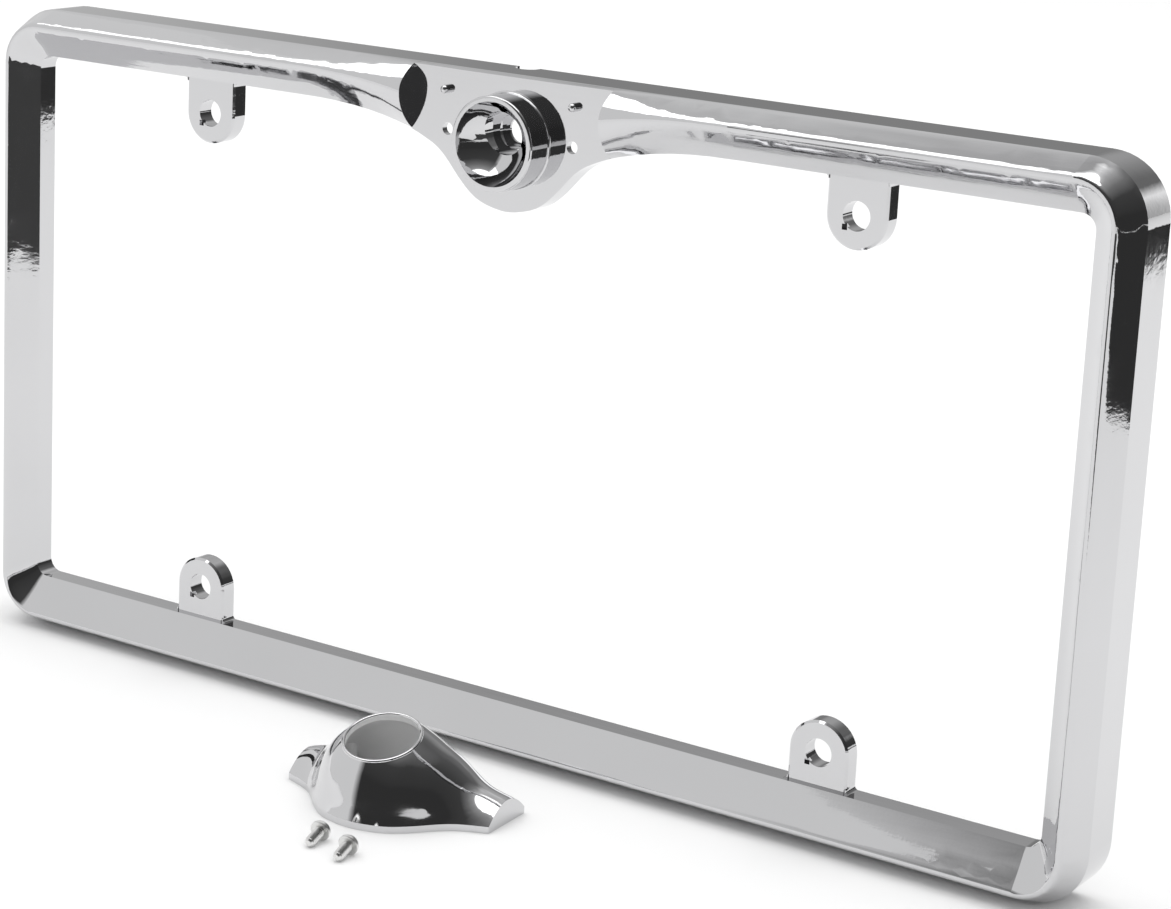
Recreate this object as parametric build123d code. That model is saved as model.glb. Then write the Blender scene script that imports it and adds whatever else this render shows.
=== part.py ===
"""Licence-plate frame with a camera mount in its top rail, the loose camera cover and its two screws.

Millimetres. X runs along the frame, Z is up and -Y is the front, away from the vehicle.
The origin is the centre of the four plate bolts, on the plane where the number plate lies.
The frame stands on its lower edge; the cover and the screws lie on the same floor in front of it.
"""
from build123d import *
import os
from math import asin, cos, degrees, exp, log, pi, radians, sin, sqrt, tan

os.makedirs("parts", exist_ok=True)

# --- frame, seen from the front -------------------------------------------------------------------------
BOLT_X = 177.8 / 2  # plate bolts, 7 in apart
BOLT_Z = 120.65 / 2  # plate bolts, 4 3/4 in apart
HALF_WIDTH = 153.9
TOP = 80.2
BOTTOM = -81.2
SIDE_RAIL = 10.25  # rail widths, outer wall to inner edge
TOP_RAIL = 11.6
BOTTOM_RAIL = 12.95
CORNER_R = 13.7
WALL = 1.8  # thickness of the casting
SKIRT_WALL = 1.3  # leaves a 305.2 mm pocket for the 304.8 mm plate

# --- frame, front to back -------------------------------------------------------------------------------
CREST_Y = -11.1  # the ridge of the rails
SEAT_Y = -5.5  # the flat seat under the cover
SHOULDER_Y = -3.5  # where the outer bevel meets the straight skirt
PLATE_Y = 0.0  # lugs and inner wall end here
SKIRT_BACK_Y = 8.1

# Rail section, from the shoulder over the ridge to the inner edge.
OUTER_BEVEL = [(0.0, SHOULDER_Y), (1.35, -6.8), (2.4, -9.3), (3.0, -10.5), (3.8, CREST_Y)]  # (inset, y)
CREST_INSET = 4.2
INNER_BEVEL = [(0.0, CREST_Y), (0.12, -10.6), (0.30, -9.4), (0.62, -7.4), (1.04, -5.15)]  # (share, y)

# Hollow behind the ridge: (inset, pod height, y) of its outer side, (share, pod height, y) of its inner.
GROOVE_OUTER = [(3.1, 77.4, -6.2), (3.9, 75.6, -8.6)]
GROOVE_INNER = [(0.46, 67.6, -6.1), (0.06, 71.0, -8.7)]
GROOVE_MOUTH_SHARE = 0.757

# --- camera pod -----------------------------------------------------------------------------------------
SWOOP_END_X = 60.0  # the rail starts to widen here
SEAT_HALF = 27.3  # half length of the seat between its step walls
SWOOP_POWER = 2.5
SWOOP_STATIONS = (50.0, 42.0, 36.0, 31.0, SEAT_HALF)
SWOOP_RUN_ON_X = (18.0, 0.0)
SWOOP_RUN_ON = (1.6, 2.0)  # shares of the drop there
ARCH_CREST_Z = 73.7  # rounded rail section at the step walls
ARCH_CREST_HALF = 0.2  # half the width of the crest itself
ARCH_TOP_Z = 79.9
ARCH_FOOT_Z = 64.6
BELL = [(23.5, 63.1), (20.0, 61.35), (17.2, 59.0), (14.5, 56.0), (11.5, 53.0), (8.0, 50.55), (4.4, 49.35)]
BELL_BOTTOM_Z = 48.75
SEAT_STOCK = 2.0  # thickness of the seat before its back is cut to WALL
SEAT_STOCK_LOW_Z = 40.0  # below the bell, which the window then cuts out

CUP_Z = 65.1  # axis of the round cup
CUP_R = 11.0
CUP_FRONT_Y = -12.8
CUP_FOOT_FILLET = 0.5
BOWL_MOUTH_R = 9.7
BOWL_SPHERE_R = 10.5
CUP_RIM_R = 0.55
BORE_Z = CUP_Z + 2.0  # the stepped bore sits above the cup's axis
BORE_STEPS = [(5.1, -3.2), (4.1, -1.5), (3.6, -0.7), (3.05, 1.0)]  # (radius, y where it ends)
BORE_START = 2.0  # how far behind the cup's front the first step's cut begins, inside the bowl
TUBE_R = 6.9
CUT_OVERLAP = 0.2

PEG_X = 17.5
PEG_Z = 75.0
PEG_R = 1.0
PEG_LENGTH = 2.2
SCREW_X = 17.15
SCREW_Z = 65.8
SCREW_HOLE_R = 1.45

NOTCH_X = -4.2  # cable notch in the back edge of the top skirt
NOTCH_WIDTH = 5.8
NOTCH_DEPTH = 3.8

# --- lugs -----------------------------------------------------------------------------------------------
LUG_R = 7.4
LUG_HOLE_R = 3.3
LUG_FRONT_Y = -4.3
LUG_EDGE = 0.5
LUG_ROOT = 0.9  # how far a lug runs into the rail
LUG_ROOT_FILLET = 1.0
NICK = 1.3  # small square nick beside each bolt hole
NICK_DEPTH = 1.2

# --- cover, in its own frame: u along the frame, v up, h out from the seat, from the cup's axis ---------
COVER_HALF = 27.0
COVER_TOP_V = 14.6
COVER_WALL = 1.6
COVER_LIP = 1.6  # upright foot all round, below the slanted wall
FOOT_POWER = 8  # how late the arch turns into that slanted wall
COVER_STATIONS = (0.0, 3.0, 6.0, 8.5)  # cross-sections that run through the mouth
SECTION_STEPS = 14
MOUTH_V = -3.4
MOUTH_H = 17.2
MOUTH_R = 9.3
MOUTH_BORE_R = 8.5
MOUTH_TILT = 18.0
LIP_R = 0.45
MOUTH_LAND = 1.2  # metal left under the rim's plane
BIG = 60.0  # larger than the cover in every direction
# Cross-sections outside the mouth: (u, ridge height, fullness).
FLANK = [(11.0, 16.4, 0.53), (14.0, 14.0, 0.57), (17.0, 11.0, 0.66), (20.0, 8.4, 0.8), (23.5, 6.8, 0.95),
         (COVER_HALF, 5.6, 1.0)]
BOSS_R = 2.6
BOSS_PILOT_R = 1.02
BOSS_PILOT_DEPTH = 5.0
SOCKET_R = 1.9
SOCKET_BORE_R = 1.1
SOCKET_DEPTH = 2.7
COVER_POST = 12.0  # longer than any boss; each is trimmed to the inside of the shell

# --- where the loose pieces lie -------------------------------------------------------------------------
FLOOR_Z = BOTTOM
COVER_X = 4.4
COVER_Y = -48.7
COVER_YAW = 3.25
SCREW_HEADS = [(5.4, -75.1), (14.85, -77.4)]  # under the middle of each head
SCREW_YAW = 8.5

# --- M2.5 pan head screw --------------------------------------------------------------------------------
THREAD_R = 1.25
THREAD_PITCH = 0.45
THREAD_DEPTH = 0.2
SHANK_LENGTH = 5.0
THREAD_START = 0.25
THREAD_RUN_OUT = 0.5  # plain stretch at the tip
TIP_CHAMFER = 0.35
HEAD_R = 2.35
HEAD_HEIGHT = 1.8
HEAD_SHOULDER = 0.55  # height of the head's straight rim
HEAD_EDGE = 0.1
HEAD_DOME = (0.78, 0.8)  # a point of the dome, as shares of the head's radius and height
RECESS_R = 1.25
RECESS_WIDTH = 0.5
RECESS_DEPTH = 1.1


def swoop(x):
    """Share of the pod's drop reached at x: 0 on the straight rail, 1 at the step wall, more inside it."""
    reach = max(0.0, (SWOOP_END_X - abs(x)) / (SWOOP_END_X - SEAT_HALF))
    return reach ** SWOOP_POWER


def front_wire(corners, top_z, top_points, y):
    """Closed outline at depth y: rounded corners and a top edge that is a curve between +-SWOOP_END_X."""
    half, bottom, radius = corners
    top_curve = [(SWOOP_END_X, top_z)] + top_points + [(-x, z) for x, z in reversed(top_points) if x > 0]
    top_curve.append((-SWOOP_END_X, top_z))
    k = radius * (1 - cos(radians(45)))
    left, right, low, high = -half, half, bottom, top_z

    def at(x, z):
        return Vector(x, y, z)

    edges = [
        Edge.make_line(at(left + radius, low), at(right - radius, low)),
        Edge.make_three_point_arc(at(right - radius, low), at(right - k, low + k), at(right, low + radius)),
        Edge.make_line(at(right, low + radius), at(right, high - radius)),
        Edge.make_three_point_arc(at(right, high - radius), at(right - k, high - k),
                                  at(right - radius, high)),
        Edge.make_line(at(right - radius, high), at(SWOOP_END_X, high)),
        Edge.make_spline([at(x, z) for x, z in top_curve], tangents=[Vector(-1, 0, 0), Vector(-1, 0, 0)]),
        Edge.make_line(at(-SWOOP_END_X, high), at(left + radius, high)),
        Edge.make_three_point_arc(at(left + radius, high), at(left + k, high - k), at(left, high - radius)),
        Edge.make_line(at(left, high - radius), at(left, low + radius)),
        Edge.make_three_point_arc(at(left, low + radius), at(left + k, low + k), at(left + radius, low)),
    ]
    return Wire(edges)


def rail_wire(insets, pod_z, y):
    """Outline inset from the outer wall by (side, top, bottom), whose top edge reaches pod_z at the steps."""
    side, top, bottom = insets
    top_z = TOP - top
    drop = top_z - pod_z
    points = [(x, top_z - drop * swoop(x)) for x in SWOOP_STATIONS]
    # Between the step walls the curve only has to run on smoothly: the seat's recess takes it away.
    # An edge that rises at the pod stays level there, so that the wall above the seat is flat.
    run_on = [drop * share for share in SWOOP_RUN_ON] if drop > 0 else [drop, drop]
    points += [(x, top_z - fall) for x, fall in zip(SWOOP_RUN_ON_X, run_on)]
    corner = max(CORNER_R - side, 1.5)
    return front_wire((HALF_WIDTH - side, BOTTOM + bottom, corner), top_z, points, y)


def even_inset(inset):
    return (inset, inset, inset)


def share_inset(share):
    """Inset of a line lying at a share of the way from the ridge to the inner edge."""
    return tuple(CREST_INSET + share * (rail - CREST_INSET) for rail in (SIDE_RAIL, TOP_RAIL, BOTTOM_RAIL))


def arch_z(y, side):
    """Height where the rounded pod section crosses depth y, on its top (+1) or its foot (-1) side."""
    rise = (SEAT_Y - y) / (SEAT_Y - CREST_Y)
    reach = sqrt(max(0.0, 1 - rise))
    crest = ARCH_CREST_Z + side * ARCH_CREST_HALF
    edge = ARCH_TOP_Z if side > 0 else ARCH_FOOT_Z
    return crest + (edge - crest) * reach


def loft_wires(wires, ruled=False):
    return Solid.make_loft(wires, ruled)


def prism(wire, depth):
    """Solid standing on a front outline and running back (+Y) by depth."""
    return Solid.extrude(Face(wire), Vector(0, depth, 0))


def window_wire(grow, y):
    """Inner edge of the frame with the pod's bell in it, moved into the metal by grow."""
    side, top, bottom = SIDE_RAIL - grow, TOP_RAIL - grow, BOTTOM_RAIL - grow
    edge_z = TOP - TOP_RAIL
    points = [(x, edge_z - (edge_z - ARCH_FOOT_Z) * swoop(x)) for x in SWOOP_STATIONS]
    points += BELL
    moved = []
    for i, (x, z) in enumerate(points):
        ahead = points[i + 1] if i + 1 < len(points) else (0.0, BELL_BOTTOM_Z)
        behind = points[i - 1] if i else (SWOOP_END_X, edge_z)
        run, rise = behind[0] - ahead[0], behind[1] - ahead[1]
        length = sqrt(run * run + rise * rise)
        moved.append((x - grow * rise / length, z + grow * run / length))
    moved.append((0.0, BELL_BOTTOM_Z + grow))
    corner = CORNER_R - SIDE_RAIL + grow
    return front_wire((HALF_WIDTH - side, BOTTOM + bottom, corner), TOP - top, moved, y)


def cylinder_y(radius, y_from, y_to, x, z):
    middle = (x, (y_from + y_to) / 2, z)
    return Location(middle, (90, 0, 0)) * Cylinder(radius, abs(y_to - y_from))


def rail_block():
    """Rails and skirt as one solid ring, with the bevels, the widened pod and its flat seat."""
    outer = [rail_wire(even_inset(inset), TOP if inset == 0 else arch_z(y, 1), y) for inset, y in OUTER_BEVEL]
    block = loft_wires(outer)
    block += prism(outer[0], SKIRT_BACK_Y - SHOULDER_Y)
    inner = [rail_wire(share_inset(share), arch_z(min(y, SEAT_Y), -1), y) for share, y in INNER_BEVEL]
    block -= loft_wires(inner)
    seat_top = ARCH_TOP_Z - 1.0
    seat_height = seat_top - SEAT_STOCK_LOW_Z
    seat_at = Pos(0, SEAT_Y + SEAT_STOCK / 2, SEAT_STOCK_LOW_Z + seat_height / 2)
    block += seat_at * Box(2 * SEAT_HALF, SEAT_STOCK, seat_height)
    block -= Pos(0, SEAT_Y - BIG / 2, CUP_Z) * Box(2 * SEAT_HALF, BIG, BIG)
    return block - prism(window_wire(0, -BIG / 2), BIG)


def hollow_back(block):
    """Takes the plate pocket and the channel behind the ridge out of the back."""
    inside = even_inset(SKIRT_WALL)
    pocket = prism(rail_wire(inside, TOP - SKIRT_WALL, PLATE_Y), SKIRT_BACK_Y + 1)
    block -= pocket
    floor_y = SEAT_Y + WALL
    behind_seat = prism(rail_wire(inside, TOP - SKIRT_WALL, floor_y), PLATE_Y - floor_y + CUT_OVERLAP)
    behind_seat -= prism(window_wire(WALL, floor_y - CUT_OVERLAP), BIG)
    block -= behind_seat
    mouth_y = floor_y + CUT_OVERLAP
    outer = [rail_wire(inside, TOP - SKIRT_WALL, mouth_y)]
    outer += [rail_wire(even_inset(inset), pod_z, y) for inset, pod_z, y in GROOVE_OUTER]
    island = [rail_wire(share_inset(GROOVE_MOUTH_SHARE), ARCH_FOOT_Z + WALL, mouth_y)]
    island += [rail_wire(share_inset(share), pod_z, y) for share, pod_z, y in GROOVE_INNER]
    groove = loft_wires(outer, ruled=True) - loft_wires(island, ruled=True)
    groove -= Pos(0, SEAT_Y, CUP_Z) * Box(2 * (SEAT_HALF + WALL), BIG, BIG)
    return block - groove


def root_fillets(x, rail_edge, toward):
    """The two small rounds between a lug's sides and the rail."""
    size = LUG_ROOT_FILLET + CUT_OVERLAP
    made = []
    for side in (-1, 1):
        inner_x = x + side * (LUG_R - CUT_OVERLAP)
        inner_z = rail_edge + toward * CUT_OVERLAP
        middle = (inner_x + side * size / 2, (LUG_FRONT_Y + PLATE_Y) / 2, inner_z - toward * size / 2)
        corner = Pos(*middle) * Box(size, PLATE_Y - LUG_FRONT_Y, size)
        round_x = x + side * (LUG_R + LUG_ROOT_FILLET)
        round_z = rail_edge - toward * LUG_ROOT_FILLET
        made.append(corner - cylinder_y(LUG_ROOT_FILLET, LUG_FRONT_Y - 1, PLATE_Y + 1, round_x, round_z))
    return made


def lug(x, z, toward):
    """Rounded bolt lug hanging from the top rail (toward +1) or standing on the bottom rail (-1)."""
    rail_edge = TOP - TOP_RAIL if toward > 0 else BOTTOM + BOTTOM_RAIL
    root = rail_edge + toward * LUG_ROOT
    with BuildPart() as made:
        with BuildSketch(Plane.XZ.offset(-LUG_FRONT_Y)):
            with Locations((x, z)):
                Circle(LUG_R)
            with Locations((x, (z + root) / 2)):
                Rectangle(2 * LUG_R, abs(root - z))
        extrude(amount=LUG_FRONT_Y - PLATE_Y)
    body = made.part
    front_edges = body.edges().filter_by_position(Axis.Y, LUG_FRONT_Y - 0.01, LUG_FRONT_Y + 0.01)
    rim = [e for e in front_edges
           if toward * (rail_edge - e.center().Z) > 0.5 or e.geom_type != GeomType.LINE]
    rim = [e for e in rim if not (e.geom_type == GeomType.LINE and abs(e.tangent_at(0.5).X) > 0.9)]
    body = body.chamfer(LUG_EDGE, None, rim)
    body += root_fillets(x, rail_edge, toward)
    body -= cylinder_y(LUG_HOLE_R, LUG_FRONT_Y - 1, PLATE_Y + 1, x, z)
    reach = LUG_HOLE_R * cos(radians(45)) + NICK / 4
    body -= Pos(x - reach, LUG_FRONT_Y, z - reach) * Box(NICK, 2 * NICK_DEPTH, NICK)
    return body


def cup():
    """Round cup standing on the seat, with its bowl, and the bore tube behind it."""
    body = cylinder_y(CUP_R, CUP_FRONT_Y, SEAT_Y + WALL / 2, 0, CUP_Z)
    foot_y = SEAT_Y - CUP_FOOT_FILLET
    skirt = cylinder_y(CUP_R + CUP_FOOT_FILLET, foot_y, SEAT_Y + WALL / 2, 0, CUP_Z)
    groove = Location((0, foot_y, CUP_Z), (90, 0, 0)) * Torus(CUP_R + CUP_FOOT_FILLET, CUP_FOOT_FILLET)
    body += skirt - groove
    body += cylinder_y(TUBE_R, SEAT_Y, PLATE_Y, 0, BORE_Z)
    return body


def cup_cuts():
    """Bowl and stepped bore, taken out of the cup and the seat together."""
    sphere_y = CUP_FRONT_Y - sqrt(BOWL_SPHERE_R ** 2 - BOWL_MOUTH_R ** 2)
    cuts = [Pos(0, sphere_y, CUP_Z) * Sphere(BOWL_SPHERE_R)]
    start = CUP_FRONT_Y + BORE_START
    for radius, end in BORE_STEPS:
        cuts.append(cylinder_y(radius, start, end, 0, BORE_Z))
        start = end - CUT_OVERLAP
    return cuts


def round_rim(body):
    """Rounds the outer edge of the cup's thin rim."""
    rims = [e for e in body.edges() if e.geom_type == GeomType.CIRCLE
            and abs(e.center().Y - CUP_FRONT_Y) < 0.05 and abs(e.length / (2 * pi) - CUP_R) < 0.05]
    return body.fillet(CUP_RIM_R, rims)


def peg(x):
    shaft = cylinder_y(PEG_R, SEAT_Y - PEG_LENGTH + PEG_R, SEAT_Y + 0.5, x, PEG_Z)
    return shaft + Pos(x, SEAT_Y - PEG_LENGTH + PEG_R, PEG_Z) * Sphere(PEG_R)


def cable_notch():
    """U-shaped gap in the back edge of the top skirt."""
    round_r = NOTCH_WIDTH / 2
    middle_y = SKIRT_BACK_Y - NOTCH_DEPTH + round_r
    gap = Pos(NOTCH_X, middle_y + 5, TOP - 1) * Box(NOTCH_WIDTH, 10, 5)
    return gap + Pos(NOTCH_X, middle_y, TOP - 1) * Cylinder(round_r, 5)


def frame():
    body = hollow_back(rail_block())
    for toward in (1, -1):
        for x in (-BOLT_X, BOLT_X):
            body += lug(x, toward * BOLT_Z, toward)
    body += cup()
    for cut in cup_cuts():
        body -= cut
    body = round_rim(body)
    for side in (-1, 1):
        body += peg(side * PEG_X)
        body -= cylinder_y(SCREW_HOLE_R, SEAT_Y - 1, PLATE_Y, side * SCREW_X, SCREW_Z)
    return body - cable_notch()


def rim_height(v):
    """Height of the mouth's slanted plane at v."""
    return MOUTH_H + (v - MOUTH_V) * tan(radians(MOUTH_TILT))


def bell_v(u):
    """Lower outline of the cover at u, from the same bell curve as the seat."""
    points = [(0.0, BELL_BOTTOM_Z)] + [(x, z) for x, z in reversed(BELL)] + [(SEAT_HALF, ARCH_FOOT_Z)]
    xs = [x for x, z in points]
    curve = Spline([(x, z) for x, z in points], tangents=[(1, 0), (1, 0.45)])
    line = Line((u, 0), (u, 100))
    hit = curve.intersect(line)
    z = hit.Y if isinstance(hit, Vector) else ShapeList(hit)[0].Y
    return z - CUP_Z


def cover_stations():
    """(u, lower v, ridge height, fullness) of the cross-sections on one side, from the middle out.

    Inside the mouth the section is made to pass through the front and the back of the round rim."""
    stations = []
    cos_tilt = cos(radians(MOUTH_TILT))
    for u in COVER_STATIONS:
        low = bell_v(max(u, 0.01))
        middle, half = (COVER_TOP_V + low) / 2, (COVER_TOP_V - low) / 2
        reach = sqrt(MOUTH_R ** 2 - u ** 2) * cos_tilt
        height, fullness = through_rim(middle, half, MOUTH_V - reach, MOUTH_V + reach)
        stations.append((u, low, height, fullness))
    for u, height, fullness in FLANK:
        stations.append((u, bell_v(u), height, fullness))
    return stations


def foot_weight(share):
    """How far the arch has turned into the slanted wall, at a share of the way from its middle to its foot."""
    return abs(share) ** FOOT_POWER


def through_rim(middle, half, front, back):
    """Height and fullness of the arch that passes through the rim at its front and its back."""
    logs, weights = [], []
    for v in (front, back):
        share = (v - middle) / half
        logs.append(log(1 - share ** 2))
        weights.append(foot_weight(share))
    rise_front, rise_back = rim_height(front) - COVER_LIP, rim_height(back) - COVER_LIP
    known = log(rise_back / rise_front) - weights[1] * logs[1] + weights[0] * logs[0]
    fullness = known / ((1 - weights[1]) * logs[1] - (1 - weights[0]) * logs[0])
    power = fullness + (1 - fullness) * weights[0]
    return COVER_LIP + rise_front / exp(power * logs[0]), fullness


def section_wire(u, low, height, fullness, inset=0.0):
    """Arched cross-section of the cover at u, standing on the floor."""
    top = COVER_TOP_V - inset
    low = low + inset
    middle, half = (top + low) / 2, (top - low) / 2
    points = []
    for i in range(SECTION_STEPS + 1):
        share = sin(pi * (i / SECTION_STEPS - 0.5))
        power = fullness + (1 - fullness) * foot_weight(share)
        rise = max(0.0, 1 - share ** 2) ** power
        points.append(Vector(u, middle + half * share, COVER_LIP + (height - inset - COVER_LIP) * rise))
    front, back = Vector(u, low, 0), Vector(u, top, 0)
    edges = [Edge.make_line(front, points[0]), Edge.make_spline(points), Edge.make_line(points[-1], back)]
    return Wire(edges + [Edge.make_line(back, front)])


def cover_loft(inset=0.0):
    stations = cover_stations()
    half = [(u - (inset if u == COVER_HALF else 0), low, height, k) for u, low, height, k in stations]
    both = [(-u, low, height, k) for u, low, height, k in reversed(half[1:])] + half
    return loft_wires([section_wire(*station, inset=inset) for station in both])


def tilted(shape, along=0.0):
    """Puts a shape made on the Z axis on the mouth's tilted axis, along it from the rim plane."""
    return Location((0, MOUTH_V, MOUTH_H), (MOUTH_TILT, 0, 0)) * Pos(0, 0, along) * shape


def standing(radius, height):
    return Pos(0, 0, height / 2) * Cylinder(radius, height)


def cover():
    shell = cover_loft()
    shell -= tilted(Box(BIG, BIG, BIG), BIG / 2)
    hollow = cover_loft(COVER_WALL) - tilted(Box(BIG, BIG, BIG), BIG / 2 - MOUTH_LAND)
    shell -= hollow
    shell -= tilted(Cylinder(MOUTH_BORE_R, 8), 0)
    shell += tilted(Torus(MOUTH_R - LIP_R, LIP_R), 0)
    envelope = cover_loft(COVER_WALL / 2)
    for side in (-1, 1):
        boss_at = Pos(side * SCREW_X, SCREW_Z - CUP_Z, 0)
        socket_at = Pos(side * PEG_X, PEG_Z - CUP_Z, 0)
        shell += (boss_at * standing(BOSS_R, COVER_POST)) & envelope
        shell += (socket_at * standing(SOCKET_R, COVER_POST)) & envelope
        shell -= boss_at * standing(BOSS_PILOT_R, BOSS_PILOT_DEPTH)
        shell -= socket_at * standing(SOCKET_BORE_R, SOCKET_DEPTH)
    return shell


def screw():
    """Pan head screw along +Z: head below the origin plane, tip at +SHANK_LENGTH."""
    with BuildPart() as made:
        with BuildSketch(Plane.XZ):
            with BuildLine():
                dome = (HEAD_R * HEAD_DOME[0], -HEAD_HEIGHT * HEAD_DOME[1])
                Line((0, 0), (HEAD_R - HEAD_EDGE, 0))
                Line((HEAD_R - HEAD_EDGE, 0), (HEAD_R, -HEAD_EDGE))
                Line((HEAD_R, -HEAD_EDGE), (HEAD_R, -HEAD_SHOULDER))
                ThreePointArc((HEAD_R, -HEAD_SHOULDER), dome, (0, -HEAD_HEIGHT))
                Line((0, -HEAD_HEIGHT), (0, 0))
            make_face()
        revolve(axis=Axis.Z)
    body = made.part
    core = THREAD_R - THREAD_DEPTH
    points = [(0, -CUT_OVERLAP), (core, -CUT_OVERLAP)]
    z = THREAD_START
    while z + THREAD_PITCH < SHANK_LENGTH - THREAD_RUN_OUT:
        points += [(core, z), (THREAD_R, z + THREAD_PITCH * 0.4), (THREAD_R, z + THREAD_PITCH * 0.55)]
        z += THREAD_PITCH
    points += [(core, z), (core, SHANK_LENGTH - TIP_CHAMFER)]
    points += [(core - TIP_CHAMFER, SHANK_LENGTH), (0, SHANK_LENGTH)]
    with BuildPart() as shank:
        with BuildSketch(Plane.XZ):
            with BuildLine():
                Polyline(*points, close=True)
            make_face()
        revolve(axis=Axis.Z)
    body += shank.part
    for turn in (0, 90):
        slot = Box(2 * RECESS_R, RECESS_WIDTH, 2 * RECESS_DEPTH)
        body -= Pos(0, 0, -HEAD_HEIGHT) * Rot(0, 0, turn) * slot
    return body


def lay_cover(shape):
    return Location((COVER_X, COVER_Y, FLOOR_Z), (0, 0, COVER_YAW)) * shape


def lay_screw(shape, place):
    """Lays a screw on the floor, resting on the rim of its head and the tip of its shank."""
    sag = asin((HEAD_R - THREAD_R) / SHANK_LENGTH)
    x, y = place
    lie = Location((x, y, FLOOR_Z), (0, 0, SCREW_YAW)) * Rot(90 + degrees(sag), 0, 0)
    low = (lie * shape).bounding_box().min.Z
    return Pos(0, 0, FLOOR_Z - low) * lie * shape


def main():
    pieces = {
        "frame": frame(),
        "cover": lay_cover(cover()),
        "screw_left": lay_screw(screw(), SCREW_HEADS[0]),
        "screw_right": lay_screw(screw(), SCREW_HEADS[1]),
    }
    for name, shape in pieces.items():
        export_step(shape, f"parts/{name}.step")


main()
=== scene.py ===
"""Looks of the chrome licence-plate frame, its loose camera cover and two screws.

Metres, in the row frame.
"""

import math

import bpy
from mathutils import Matrix, Vector


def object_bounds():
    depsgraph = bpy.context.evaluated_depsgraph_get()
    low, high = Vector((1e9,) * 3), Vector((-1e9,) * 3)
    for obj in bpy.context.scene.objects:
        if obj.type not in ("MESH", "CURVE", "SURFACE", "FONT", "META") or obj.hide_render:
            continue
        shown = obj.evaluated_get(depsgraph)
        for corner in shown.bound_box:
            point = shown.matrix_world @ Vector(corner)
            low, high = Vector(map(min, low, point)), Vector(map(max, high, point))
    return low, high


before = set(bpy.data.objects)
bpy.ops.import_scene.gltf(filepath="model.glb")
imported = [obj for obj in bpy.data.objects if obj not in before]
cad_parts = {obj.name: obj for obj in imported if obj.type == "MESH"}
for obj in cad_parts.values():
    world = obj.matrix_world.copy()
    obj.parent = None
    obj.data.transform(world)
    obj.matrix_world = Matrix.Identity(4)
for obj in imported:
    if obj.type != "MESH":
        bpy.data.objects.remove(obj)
CAD_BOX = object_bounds()
FLOOR_Z = CAD_BOX[0].z

# --- camera ---------------------------------------------------------------------------------------------
CAMERA_AT = Vector((0.3801, -0.5658, 0.1756))
AZIMUTH = math.radians(33.40)
ELEVATION = math.radians(13.29)
ROLL = math.radians(2.69)
SENSOR_MM = 36.0
LENS_MM = 92.72
NEAREST = 0.01
SHIFT = (0.0405, -0.0853)

# --- plating --------------------------------------------------------------------------------------------
FRAME_COLOUR = (0.64, 0.64, 0.65)
COVER_COLOUR = (0.66, 0.66, 0.67)
SCREW_COLOUR = (0.78, 0.78, 0.77)
POLISH = (0.02, 0.06)  # ranges of roughness
FRAME_SATIN = (0.22, 0.34)
COVER_SATIN = (0.45, 0.6)
SCREW_SATIN = (0.26, 0.38)
FRAME_RIPPLE = 0.00003  # heights of the fine waves left by polishing
COVER_RIPPLE = 0.00001
SCREW_RIPPLE = 0.00002
COVER_MIDDLE = (0.0044, -0.050, -0.0812)  # on the floor, under the middle of the cover's hollow
HOLLOW_COLOUR = (0.86, 0.86, 0.86)
HOLLOW_METAL = 0.25  # the matt inside scatters light more than it mirrors it
STREAK_SCALE = (60.0, 500.0, 700.0)  # draws the streaks out along the frame
STREAK_SHARE = 0.35  # heights of the streaks and of the grain, as shares of the ripple's
GRAIN_SHARE = 0.05
TINT_DARKEST = 0.95
BACK_FROM, BACK_TO = 0.35, 0.75  # a normal's backward part where satin starts, and where it is full
INWARD_TO = -0.12  # a normal's outward part where a face counts as wholly inside

# Noises, as a scale per metre and the octaves of detail. The streaks' scale is STREAK_SCALE instead.
TINT_NOISE = (35.0, 4.0)
RIPPLE_NOISE = (55.0, 2.0)
SHINE_NOISE = (160.0, 5.0)
DULL_NOISE = (420.0, 3.0)
GRAIN_NOISE = (1400.0, 2.0)
STREAK_NOISE = (1.0, 3.0)
SPREAD_FROM, SPREAD_TO = 0.3, 0.7  # a noise value seldom lies outside these

# --- studio ---------------------------------------------------------------------------------------------
FLOOR_SIZE = 30.0
FLOOR_ALBEDO = 0.84
FLOOR_ROUGHNESS = 0.9
FLOOR_SPECULAR = 0.1
WORLD_LIGHT = 0.85
ROOM_RADIUS = 1.9
ROOM_STEP = 2.0  # degrees between the dome's vertices
FLAG_LIFT = 0.0006
SOFTBOX_SIZE = (3.2, 2.9)  # across the view, along it
SOFTBOX_HEIGHT = 2.3
SOFTBOX_BACK = 0.42  # how far its middle lies behind the part, away from the camera
SOFTBOX_POWER = 40.0

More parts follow.
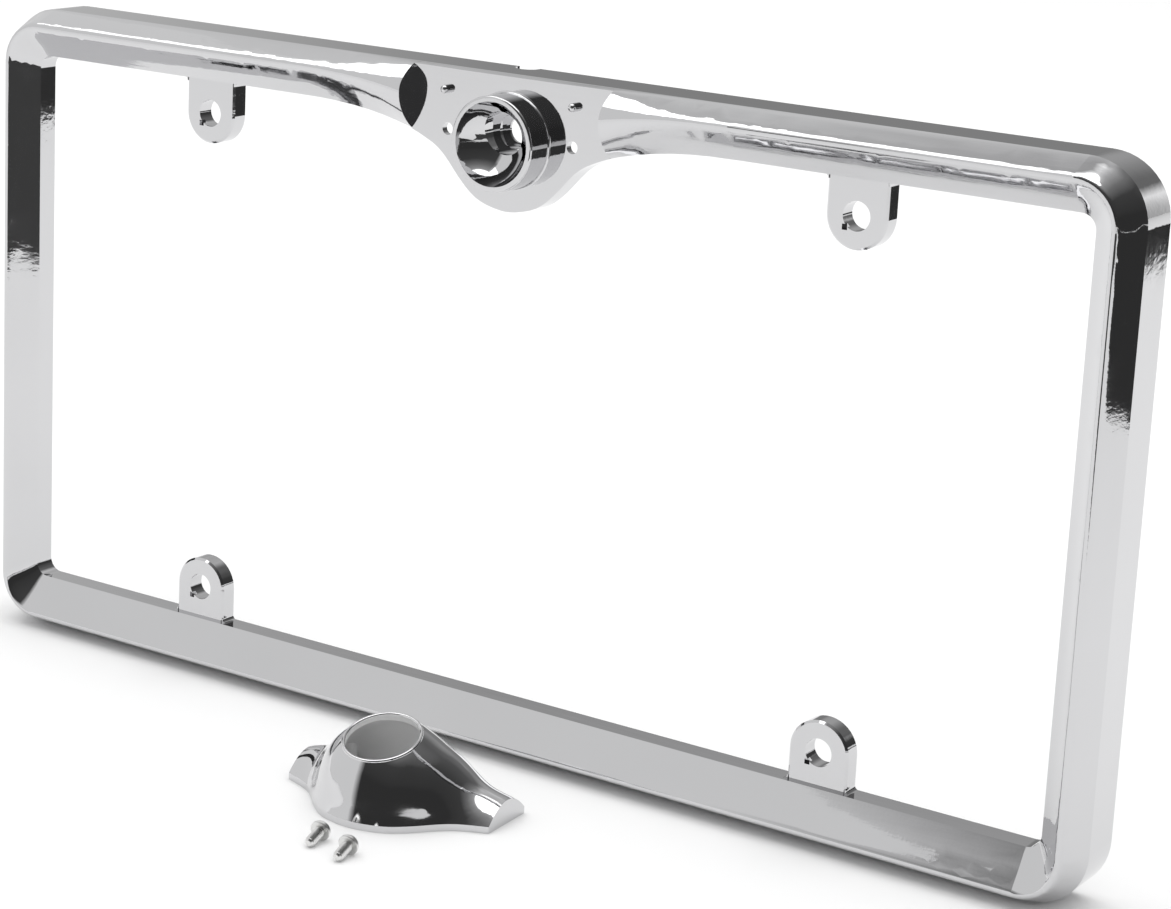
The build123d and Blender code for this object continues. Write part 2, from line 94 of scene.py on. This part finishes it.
# What the chrome mirrors between the floor and the light overhead. Each row is an elevation, and each column
# an azimuth from the camera, positive to its right, both in degrees. Brightness is blended in between.
ROOM_AZIMUTHS = (-62, -50, 40, 80, 114, 122, 132, 140, 156, 180, 205)
ROOM = {
    0.2: (0.85, 0.04, 0.04, 0.04, 0.05, 0.90, 0.90, 0.30, 0.26, 0.26, 0.80),
    14.0: (0.85, 0.04, 0.04, 0.04, 0.06, 1.20, 1.20, 0.30, 0.26, 0.26, 0.80),
    20.0: (0.80, 0.05, 0.05, 0.05, 0.10, 0.18, 0.20, 0.30, 0.40, 0.45, 0.80),
    40.0: (0.70, 0.07, 0.06, 0.07, 0.12, 0.14, 0.15, 0.25, 0.55, 0.60, 0.80),
    46.0: (0.30, 0.12, 0.12, 0.14, 0.17, 0.17, 0.20, 0.45, 0.80, 0.80, 0.80),
    54.0: (0.50, 0.20, 0.20, 0.22, 0.26, 0.30, 0.60, 0.70, 0.62, 0.55, 0.70),
    64.0: (0.90, 0.36, 0.36, 0.40, 0.55, 0.60, 0.60, 0.60, 0.48, 0.42, 0.60),
    68.0: (1.10, 0.50, 0.50, 0.55, 0.80, 0.90, 1.10, 1.20, 1.20, 1.20, 1.20),
}

# Dark patches of the floor that only the chrome mirrors, as (towards the camera, to its right) in metres.
FLAGS = {
    "flag_camera": (((0.38, -0.28), (0.38, 0.10), (0.65, 0.12), (1.30, 0.45), (1.30, -0.60), (0.60, -0.34)),
                    0.065),
    "flag_right": (((3.0, 0.54), (0.10, 0.56), (-0.20, 0.62), (-0.40, 0.78), (-0.60, 1.05), (-0.60, 3.5),
                    (3.0, 3.5)), 0.04),
}


def camera_axes():
    """The camera's right, up and back directions."""
    back = Vector((math.sin(AZIMUTH) * math.cos(ELEVATION), -math.cos(AZIMUTH) * math.cos(ELEVATION),
                   math.sin(ELEVATION)))
    right = Vector((0, 0, 1)).cross(back).normalized()
    up = back.cross(right)
    rolled_right = math.cos(ROLL) * right + math.sin(ROLL) * up
    rolled_up = -math.sin(ROLL) * right + math.cos(ROLL) * up
    return rolled_right, rolled_up, back


def make_camera():
    data = bpy.data.cameras.new("camera")
    data.sensor_width = SENSOR_MM
    data.lens = LENS_MM
    data.shift_x, data.shift_y = SHIFT
    data.clip_start = NEAREST
    camera = bpy.data.objects.new("camera", data)
    bpy.context.scene.collection.objects.link(camera)
    camera.matrix_world = Matrix.Translation(CAMERA_AT) @ Matrix(camera_axes()).transposed().to_4x4()
    bpy.context.scene.camera = camera


def new_material(name):
    material = bpy.data.materials.new(name)
    material.use_nodes = True
    return material, material.node_tree.nodes, material.node_tree.links


def mesh_object(name, corners, faces):
    mesh = bpy.data.meshes.new(name)
    mesh.from_pydata(corners, [], faces)
    made = bpy.data.objects.new(name, mesh)
    bpy.context.scene.collection.objects.link(made)
    return made


def glow(name, brightness):
    """Plain glowing material for what is only mirrored. With no brightness, the mesh's own colours say it."""
    material, nodes, links = new_material(name)
    nodes.clear()
    emission = nodes.new("ShaderNodeEmission")
    emission.inputs["Strength"].default_value = 1.0 if brightness is None else brightness
    if brightness is None:
        painted = nodes.new("ShaderNodeVertexColor")
        painted.layer_name = "glow"
        links.new(painted.outputs["Color"], emission.inputs["Color"])
    output = nodes.new("ShaderNodeOutputMaterial")
    links.new(emission.outputs[0], output.inputs["Surface"])
    return material


def mirrored_only(made, brightness=None):
    """A card that the chrome mirrors, and that the camera and the floor don't see."""
    made.data.materials.append(glow(made.name, brightness))
    made.visible_camera = False
    made.visible_diffuse = False
    made.visible_shadow = False
    made.visible_transmission = False


def make_floor():
    half = FLOOR_SIZE / 2
    corners = [(-half, -half, FLOOR_Z), (half, -half, FLOOR_Z), (half, half, FLOOR_Z), (-half, half, FLOOR_Z)]
    floor = mesh_object("floor", corners, [(0, 1, 2, 3)])
    material, nodes, links = new_material("floor")
    shader = nodes["Principled BSDF"]
    shader.inputs["Base Color"].default_value = (FLOOR_ALBEDO, FLOOR_ALBEDO, FLOOR_ALBEDO, 1)
    shader.inputs["Roughness"].default_value = FLOOR_ROUGHNESS
    shader.inputs["Specular IOR Level"].default_value = FLOOR_SPECULAR
    floor.data.materials.append(material)


def floor_axes():
    """Level directions towards the camera and to its right."""
    towards = Vector((math.sin(AZIMUTH), -math.cos(AZIMUTH), 0))
    right = Vector((math.cos(AZIMUTH), math.sin(AZIMUTH), 0))
    return towards, right


def blend(stops, values, at):
    """Value at a place between stops, joined by straight lines."""
    for i in range(len(stops) - 1):
        if at <= stops[i + 1]:
            share = (at - stops[i]) / (stops[i + 1] - stops[i])
            return values[i] + (values[i + 1] - values[i]) * share
    return values[-1]


def evenly(low, high):
    count = round((high - low) / ROOM_STEP)
    return [low + (high - low) * i / count for i in range(count + 1)]


def make_room():
    """Dome of smoothly changing brightness between the floor and the light overhead, open on the left."""
    towards, right = floor_axes()
    heights = list(ROOM)
    azimuths = evenly(ROOM_AZIMUTHS[0], ROOM_AZIMUTHS[-1])
    elevations = evenly(heights[0], heights[-1])
    corners, glows = [], []
    for elevation in elevations:
        row = [blend(heights, [ROOM[h][i] for h in heights], elevation) for i in range(len(ROOM_AZIMUTHS))]
        e = math.radians(elevation)
        for azimuth in azimuths:
            a = math.radians(azimuth)
            level = towards * math.cos(a) + right * math.sin(a)
            corners.append((level * math.cos(e) + Vector((0, 0, math.sin(e)))) * ROOM_RADIUS)
            glows.append(blend(ROOM_AZIMUTHS, row, azimuth))
    faces = []
    columns = len(azimuths)
    for row in range(len(elevations) - 1):
        for i in range(row * columns, row * columns + columns - 1):
            faces.append((i, i + 1, i + columns + 1, i + columns))
    dome = mesh_object("room", corners, faces)
    painted = dome.data.color_attributes.new("glow", "FLOAT_COLOR", "POINT")
    for i, value in enumerate(glows):
        painted.data[i].color = (value, value, value, 1)
    mirrored_only(dome)


def make_flags():
    towards, right = floor_axes()
    lift = Vector((0, 0, FLOOR_Z + FLAG_LIFT))
    for name, (outline, brightness) in FLAGS.items():
        corners = [towards * t + right * r + lift for t, r in outline]
        mirrored_only(mesh_object(name, corners, [tuple(range(len(corners)))]), brightness)


def make_lights():
    world = bpy.data.worlds.new("studio")
    world.use_nodes = True
    world.node_tree.nodes["Background"].inputs["Color"].default_value = (1, 1, 1, 1)
    world.node_tree.nodes["Background"].inputs["Strength"].default_value = WORLD_LIGHT
    bpy.context.scene.world = world
    data = bpy.data.lights.new("softbox", "AREA")
    data.shape = "RECTANGLE"
    data.size, data.size_y = SOFTBOX_SIZE
    data.energy = SOFTBOX_POWER
    softbox = bpy.data.objects.new("softbox", data)
    towards, right = floor_axes()
    softbox.location = Vector((0, 0, FLOOR_Z + SOFTBOX_HEIGHT)) - towards * SOFTBOX_BACK
    softbox.rotation_euler.z = AZIMUTH
    softbox.visible_camera = False
    bpy.context.scene.collection.objects.link(softbox)


def noise(nodes, links, vector, scale, detail):
    made = nodes.new("ShaderNodeTexNoise")
    made.inputs["Scale"].default_value = scale
    made.inputs["Detail"].default_value = detail
    links.new(vector, made.inputs["Vector"])
    return made.outputs["Fac"]


def spread(nodes, links, value, low, high):
    """Maps a value to the range low..high: a noise, or a mask that runs from 0 to 1."""
    made = nodes.new("ShaderNodeMapRange")
    made.inputs["From Min"].default_value = SPREAD_FROM
    made.inputs["From Max"].default_value = SPREAD_TO
    made.inputs["To Min"].default_value = low
    made.inputs["To Max"].default_value = high
    links.new(value, made.inputs["Value"])
    return made.outputs["Result"]


def bump(nodes, links, height, distance, under=None):
    """Fine relief of the given height in metres, on top of another relief's normal."""
    made = nodes.new("ShaderNodeBump")
    made.inputs["Strength"].default_value = 1.0
    made.inputs["Distance"].default_value = distance
    links.new(height, made.inputs["Height"])
    if under is not None:
        links.new(under, made.inputs["Normal"])
    return made.outputs["Normal"]


def mixed(nodes, links, factor, first, second):
    made = nodes.new("ShaderNodeMix")
    links.new(factor, made.inputs["Factor"])
    links.new(first, made.inputs["A"])
    links.new(second, made.inputs["B"])
    return made.outputs["Result"]


def looks_back(nodes, links):
    """1 on faces that look towards the vehicle, 0 elsewhere."""
    facing = nodes.new("ShaderNodeSeparateXYZ")
    links.new(nodes.new("ShaderNodeNewGeometry").outputs["Normal"], facing.inputs[0])
    back = nodes.new("ShaderNodeMapRange")
    back.inputs["From Min"].default_value = BACK_FROM
    back.inputs["From Max"].default_value = BACK_TO
    links.new(facing.outputs["Y"], back.inputs["Value"])
    return back.outputs["Result"]


def looks_inward(nodes, links, where, middle):
    """1 on faces that look towards the point at middle, 0 on those that look away from it."""
    level = nodes.new("ShaderNodeVectorMath")
    level.operation = "SUBTRACT"
    level.inputs[1].default_value = middle
    links.new(where, level.inputs[0])
    unit = nodes.new("ShaderNodeVectorMath")
    unit.operation = "NORMALIZE"
    links.new(level.outputs[0], unit.inputs[0])
    away = nodes.new("ShaderNodeVectorMath")
    away.operation = "DOT_PRODUCT"
    links.new(unit.outputs[0], away.inputs[0])
    links.new(nodes.new("ShaderNodeNewGeometry").outputs["Normal"], away.inputs[1])
    inward = nodes.new("ShaderNodeMapRange")
    inward.inputs["From Min"].default_value = 0.0
    inward.inputs["From Max"].default_value = INWARD_TO
    links.new(away.outputs["Value"], inward.inputs["Value"])
    return inward.outputs["Result"]


def plating(name, colour, polish, satin, ripple, hollow=None):
    """Bright plating: polished where a tool reaches, satin on faces that look back or into a hollow part.

    polish and satin are ranges of roughness, ripple is a height in metres, and hollow is the point that
    the inside of a hollow part faces.
    """
    material, nodes, links = new_material(name)
    shader = nodes["Principled BSDF"]
    shader.inputs["Metallic"].default_value = 1.0
    where = nodes.new("ShaderNodeTexCoord").outputs["Object"]

    tint = nodes.new("ShaderNodeMix")
    tint.data_type = "RGBA"
    tint.inputs["A"].default_value = (*[c * TINT_DARKEST for c in colour], 1)
    tint.inputs["B"].default_value = (*colour, 1)
    links.new(noise(nodes, links, where, *TINT_NOISE), tint.inputs["Factor"])
    coat = tint.outputs["Result"]

    shine = spread(nodes, links, noise(nodes, links, where, *SHINE_NOISE), *polish)
    dull = spread(nodes, links, noise(nodes, links, where, *DULL_NOISE), *satin)
    if hollow is None:
        unpolished = looks_back(nodes, links)
    else:
        unpolished = looks_inward(nodes, links, where, hollow)
        pale = nodes.new("ShaderNodeMix")
        pale.data_type = "RGBA"
        pale.inputs["B"].default_value = (*HOLLOW_COLOUR, 1)
        links.new(unpolished, pale.inputs["Factor"])
        links.new(coat, pale.inputs["A"])
        coat = pale.outputs["Result"]
        links.new(spread(nodes, links, unpolished, 1.0, HOLLOW_METAL), shader.inputs["Metallic"])
    links.new(coat, shader.inputs["Base Color"])
    links.new(mixed(nodes, links, unpolished, shine, dull), shader.inputs["Roughness"])

    along = nodes.new("ShaderNodeMapping")
    along.inputs["Scale"].default_value = STREAK_SCALE
    links.new(where, along.inputs["Vector"])
    wave = bump(nodes, links, noise(nodes, links, where, *RIPPLE_NOISE), ripple)
    lines = noise(nodes, links, along.outputs[0], *STREAK_NOISE)
    streak = bump(nodes, links, lines, ripple * STREAK_SHARE, wave)
    grain = bump(nodes, links, noise(nodes, links, where, *GRAIN_NOISE), ripple * GRAIN_SHARE, streak)
    links.new(grain, shader.inputs["Normal"])
    return material


def finish_nodes():
    chrome = plating("chrome_frame", FRAME_COLOUR, POLISH, FRAME_SATIN, FRAME_RIPPLE)
    cover = plating("chrome_cover", COVER_COLOUR, POLISH, COVER_SATIN, COVER_RIPPLE, COVER_MIDDLE)
    zinc = plating("zinc_screw", SCREW_COLOUR, SCREW_SATIN, SCREW_SATIN, SCREW_RIPPLE)
    for name, material in (("frame", chrome), ("cover", cover), ("screw_left", zinc), ("screw_right", zinc)):
        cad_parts[name].material_slots[0].material = material


make_camera()
make_floor()
make_room()
make_flags()
make_lights()
finish_nodes()
bpy.context.scene.view_settings.view_transform = "Standard"
